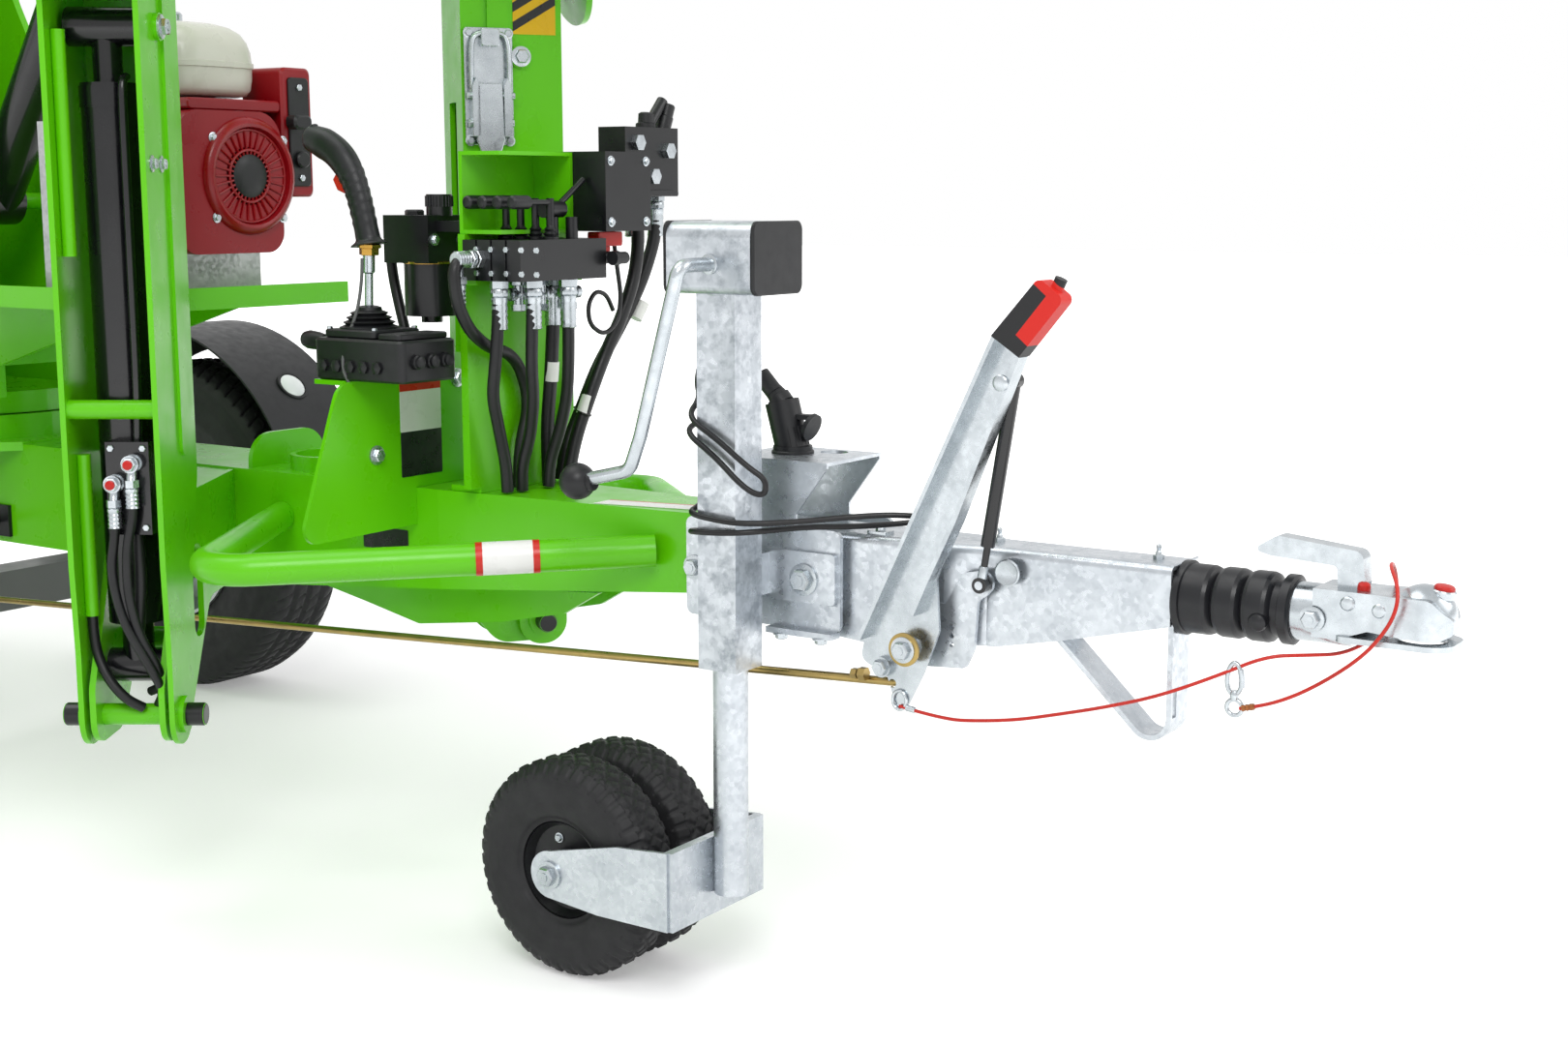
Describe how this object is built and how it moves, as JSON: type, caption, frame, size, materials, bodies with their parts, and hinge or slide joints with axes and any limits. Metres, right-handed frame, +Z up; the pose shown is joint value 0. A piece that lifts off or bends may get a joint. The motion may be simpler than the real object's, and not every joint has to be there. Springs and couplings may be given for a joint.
{
  "type": "towable boom lift",
  "caption": "Trailer boom lift with hinged outriggers, slewing turret, articulated telescopic boom and cage, parked on its jockey wheel.",
  "frame": {"origin": "on the ground under the middle of the machine's length and width", "axes": "+X forward to the towing coupling, +Y to the machine's left, +Z up"},
  "size_m": [4.508, 1.452, 1.985],
  "materials": {
    "green_paint": "glossy powder coat",
    "black_paint": "satin black paint",
    "galvanised": "hot dip galvanised",
    "steel": "ground steel",
    "chrome": "chromed rod",
    "tyre_rubber": "moulded tread rubber",
    "rubber": "moulded rubber",
    "red_cable": "sheathed wire rope",
    "black_plastic": "moulded",
    "red_plastic": "moulded",
    "white_plastic": "moulded",
    "brass_passivate": "yellow passivated steel",
    "cast_alloy": "cast alloy",
    "grey_paint": "satin grey"
  },
  "bodies": {
    "chassis": {"main_frame": "green_paint", "outrigger_brackets": "green_paint", "guard_tubes": "green_paint", "shield_plate": "green_paint", "drawbar": "galvanised", "coupling_head": "galvanised", "coupling_bellows": "rubber", "handbrake": "galvanised", "handbrake_grip": "black_plastic", "gas_strut": "black_paint", "tow_plug": "black_plastic", "hydraulic_hoses": "rubber", "mast_cable": "rubber", "breakaway_cable": "red_cable", "brake_rod": "brass_passivate", "jockey_mast": "galvanised", "jockey_crank": "galvanised", "axle": "grey_paint", "mudguards": "black_plastic", "control_post": "green_paint", "control_box": "green_paint", "valve_bank": "black_paint", "joystick_console": "black_plastic", "oil_filter": "black_paint"},
    "wheel_left": {"tyre_left": "tyre_rubber", "rim_left": "steel"},
    "wheel_right": {"tyre_right": "tyre_rubber", "rim_right": "steel"},
    "jockey_slide_body": {"jockey_spindle": "galvanised"},
    "jockey_swivel_body": {"jockey_leg": "galvanised"},
    "jockey_wheels": {"jockey_rims": "black_plastic", "jockey_tyres": "tyre_rubber"},
    "leg_front_right": {"leg_front_right": "green_paint"},
    "leg_barrel_front_right": {"leg_barrel_front_right": "black_paint"},
    "leg_rod_front_right": {"leg_rod_front_right": "black_paint"},
    "leg_front_left": {"leg_front_left": "green_paint"},
    "leg_barrel_front_left": {"leg_barrel_front_left": "black_paint"},
    "leg_rod_front_left": {"leg_rod_front_left": "black_paint"},
    "leg_rear_right": {"leg_rear_right": "green_paint"},
    "leg_barrel_rear_right": {"leg_barrel_rear_right": "black_paint"},
    "leg_rod_rear_right": {"leg_rod_rear_right": "black_paint"},
    "leg_rear_left": {"leg_rear_left": "green_paint"},
    "leg_barrel_rear_left": {"leg_barrel_rear_left": "black_paint"},
    "leg_rod_rear_left": {"leg_rod_rear_left": "black_paint"},
    "turret": {"turret": "green_paint", "engine_tray": "green_paint", "engine_block": "cast_alloy", "engine_cowl": "red_plastic", "fuel_tank": "white_plastic"},
    "lower_link": {"lower_link": "green_paint"},
    "upper_link": {"upper_link": "green_paint"},
    "knuckle": {"knuckle": "green_paint"},
    "upper_boom": {"upper_boom": "green_paint"},
    "telescope": {"telescope": "grey_paint"},
    "cage": {"cage": "green_paint", "cage_floor": "cast_alloy"},
    "lift_barrel_lower": {"lift_barrel_lower": "black_paint"},
    "lift_rod_lower": {"lift_rod_lower": "chrome"},
    "lift_barrel_upper": {"lift_barrel_upper": "black_paint"},
    "lift_rod_upper": {"lift_rod_upper": "chrome"}
  },
  "joints": [
    {"name": "wheel_spin_left", "type": "hinge", "parent": "chassis", "child": "wheel_left", "pos_m": [-0.375, 0.62, 0.32], "axis": [0, 1, 0], "continuous": true},
    {"name": "wheel_spin_right", "type": "hinge", "parent": "chassis", "child": "wheel_right", "pos_m": [-0.375, -0.62, 0.32], "axis": [0, 1, 0], "continuous": true},
    {"name": "jockey_slide", "type": "slide", "parent": "chassis", "child": "jockey_slide_body", "axis": [0, 0, 1], "range_m": [-0.12, 0.07]},
    {"name": "jockey_swivel", "type": "hinge", "parent": "jockey_slide_body", "child": "jockey_swivel_body", "pos_m": [1.444, -0.121, 0.5], "axis": [0, 0, 1], "continuous": true},
    {"name": "jockey_wheel_spin", "type": "hinge", "parent": "jockey_swivel_body", "child": "jockey_wheels", "pos_m": [1.24, -0.121, 0.138], "axis": [0, 1, 0], "continuous": true},
    {"name": "leg_swing_front_right", "type": "hinge", "parent": "chassis", "child": "leg_front_right", "pos_m": [0.692, -0.3885, 0.298], "axis": [0.829, 0.5592, 0], "range_deg": [0, 105]},
    {"name": "leg_barrel_turn_front_right", "type": "hinge", "parent": "chassis", "child": "leg_barrel_front_right", "pos_m": [0.67802, -0.36777, 0.358], "axis": [0.829, 0.5592, 0], "range_deg": [0, 107.13]},
    {"name": "leg_rod_slide_front_right", "type": "slide", "parent": "leg_barrel_front_right", "child": "leg_rod_front_right", "axis": [0.0035, -0.0051, 1], "range_m": [0, 0.1022]},
    {"name": "leg_swing_front_left", "type": "hinge", "parent": "chassis", "child": "leg_front_left", "pos_m": [0.692, 0.3885, 0.298], "axis": [-0.829, 0.5592, 0], "range_deg": [0, 105]},
    {"name": "leg_barrel_turn_front_left", "type": "hinge", "parent": "chassis", "child": "leg_barrel_front_left", "pos_m": [0.67802, 0.36777, 0.358], "axis": [-0.829, 0.5592, 0], "range_deg": [0, 107.13]},
    {"name": "leg_rod_slide_front_left", "type": "slide", "parent": "leg_barrel_front_left", "child": "leg_rod_front_left", "axis": [0.0035, 0.0051, 1], "range_m": [0, 0.1022]},
    {"name": "leg_swing_rear_right", "type": "hinge", "parent": "chassis", "child": "leg_rear_right", "pos_m": [-1.058, -0.3885, 0.298], "axis": [0.829, -0.5592, 0], "range_deg": [0, 105]},
    {"name": "leg_barrel_turn_rear_right", "type": "hinge", "parent": "chassis", "child": "leg_barrel_rear_right", "pos_m": [-1.04402, -0.36777, 0.358], "axis": [0.829, -0.5592, 0], "range_deg": [0, 107.13]},
    {"name": "leg_rod_slide_rear_right", "type": "slide", "parent": "leg_barrel_rear_right", "child": "leg_rod_rear_right", "axis": [-0.0035, -0.0051, 1], "range_m": [0, 0.1022]},
    {"name": "leg_swing_rear_left", "type": "hinge", "parent": "chassis", "child": "leg_rear_left", "pos_m": [-1.058, 0.3885, 0.298], "axis": [-0.829, -0.5592, 0], "range_deg": [0, 105]},
    {"name": "leg_barrel_turn_rear_left", "type": "hinge", "parent": "chassis", "child": "leg_barrel_rear_left", "pos_m": [-1.04402, 0.36777, 0.358], "axis": [-0.829, -0.5592, 0], "range_deg": [0, 107.13]},
    {"name": "leg_rod_slide_rear_left", "type": "slide", "parent": "leg_barrel_rear_left", "child": "leg_rod_rear_left", "axis": [-0.0035, 0.0051, 1], "range_m": [0, 0.1022]},
    {"name": "slew", "type": "hinge", "parent": "chassis", "child": "turret", "pos_m": [-0.184, 0, 0.65], "axis": [0, 0, 1], "range_deg": [-175, 175]},
    {"name": "lower_boom_lift", "type": "hinge", "parent": "turret", "child": "lower_link", "pos_m": [-0.25, 0, 1.512], "axis": [0, -1, 0], "range_deg": [0, 75]},
    {"name": "upper_link_turn", "type": "hinge", "parent": "turret", "child": "upper_link", "pos_m": [-0.33, 0, 1.662], "axis": [0, -1, 0], "range_deg": [0, 75.5]},
    {"name": "knuckle_level", "type": "hinge", "parent": "lower_link", "child": "knuckle", "pos_m": [1.36, 0, 1.512], "axis": [0, -1, 0], "range_deg": [-75.5, 0]},
    {"name": "upper_boom_lift", "type": "hinge", "parent": "knuckle", "child": "upper_boom", "pos_m": [1.29, 0, 1.872], "axis": [0, 1, 0], "range_deg": [0, 55]},
    {"name": "telescope_slide", "type": "slide", "parent": "upper_boom", "child": "telescope", "axis": [-1, 0, 0], "range_m": [0, 1.5]},
    {"name": "cage_level", "type": "hinge", "parent": "telescope", "child": "cage", "pos_m": [-1.69, 0, 1.872], "axis": [0, 1, 0], "range_deg": [-55.5, 0]},
    {"name": "lift_barrel_turn_lower", "type": "hinge", "parent": "turret", "child": "lift_barrel_lower", "pos_m": [-0.09, 0, 0.95], "axis": [0, -1, 0], "range_deg": [0, 31.71]},
    {"name": "lift_rod_slide_lower", "type": "slide", "parent": "lift_barrel_lower", "child": "lift_rod_lower", "axis": [0.5563, 0, 0.831], "range_m": [0, 0.4317]},
    {"name": "lift_barrel_turn_upper", "type": "hinge", "parent": "knuckle", "child": "lift_barrel_upper", "pos_m": [1.24, 0, 1.752], "axis": [0, 1, 0], "range_deg": [0, 54.48]},
    {"name": "lift_rod_slide_upper", "type": "slide", "parent": "lift_barrel_upper", "child": "lift_rod_upper", "axis": [-0.9998, 0, 0.0217], "range_m": [0, 0.1215]}
  ],
  "couplings": [
    {"joint": "leg_barrel_turn_front_right", "follows": "leg_swing_front_right", "ratio": 1.0156},
    {"joint": "leg_rod_slide_front_right", "follows": "leg_swing_front_right", "m_per_rad": 0.054681},
    {"joint": "leg_barrel_turn_front_left", "follows": "leg_swing_front_left", "ratio": 1.0156},
    {"joint": "leg_rod_slide_front_left", "follows": "leg_swing_front_left", "m_per_rad": 0.054681},
    {"joint": "leg_barrel_turn_rear_right", "follows": "leg_swing_rear_right", "ratio": 1.0156},
    {"joint": "leg_rod_slide_rear_right", "follows": "leg_swing_rear_right", "m_per_rad": 0.054681},
    {"joint": "leg_barrel_turn_rear_left", "follows": "leg_swing_rear_left", "ratio": 1.0156},
    {"joint": "leg_rod_slide_rear_left", "follows": "leg_swing_rear_left", "m_per_rad": 0.054681},
    {"joint": "upper_link_turn", "follows": "lower_boom_lift", "ratio": 1},
    {"joint": "knuckle_level", "follows": "lower_boom_lift", "ratio": -1},
    {"joint": "cage_level", "follows": "upper_boom_lift", "ratio": -1},
    {"joint": "lift_barrel_turn_lower", "follows": "lower_boom_lift", "ratio": 0.41617},
    {"joint": "lift_rod_slide_lower", "follows": "lower_boom_lift", "m_per_rad": 0.32827},
    {"joint": "lift_barrel_turn_upper", "follows": "upper_boom_lift", "ratio": 0.98147},
    {"joint": "lift_rod_slide_upper", "follows": "upper_boom_lift", "m_per_rad": 0.12447}
  ]
}
